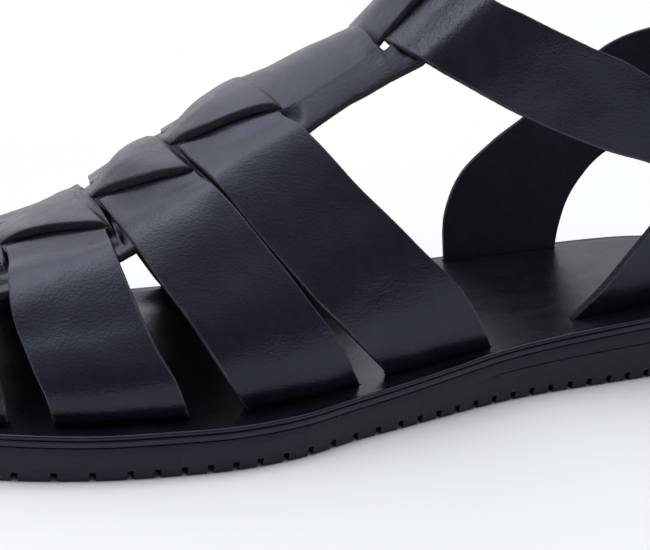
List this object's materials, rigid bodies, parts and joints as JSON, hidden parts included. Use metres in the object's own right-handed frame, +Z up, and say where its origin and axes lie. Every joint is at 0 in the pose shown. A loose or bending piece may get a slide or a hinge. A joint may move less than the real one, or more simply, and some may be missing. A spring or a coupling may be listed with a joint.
{
  "type": "gurkha sandal",
  "caption": "Leather gurkha sandal: cross straps run under a long centre strap, with a buckled ankle strap and a notched rubber sole.",
  "frame": {"origin": "on the floor, under the middle of the sole's length and width", "axes": "+Z up, -Y towards the toe, +Y towards the heel, +X towards the outer (lateral) side of the left foot"},
  "size_m": [0.1101, 0.29, 0.1176],
  "materials": {
    "sole_rubber": "black moulded rubber, satin",
    "footbed_leather": "smooth black leather, semi-gloss",
    "strap_leather": "fine-grained black leather, soft sheen",
    "buckle_metal": "gunmetal, satin"
  },
  "bodies": {
    "root": {"outsole": "sole_rubber", "insole": "footbed_leather", "upper": "strap_leather", "buckle_tab": "strap_leather", "keeper": "strap_leather", "buckle_frame": "buckle_metal", "buckle_prong": "buckle_metal"}
  },
  "joints": []
}
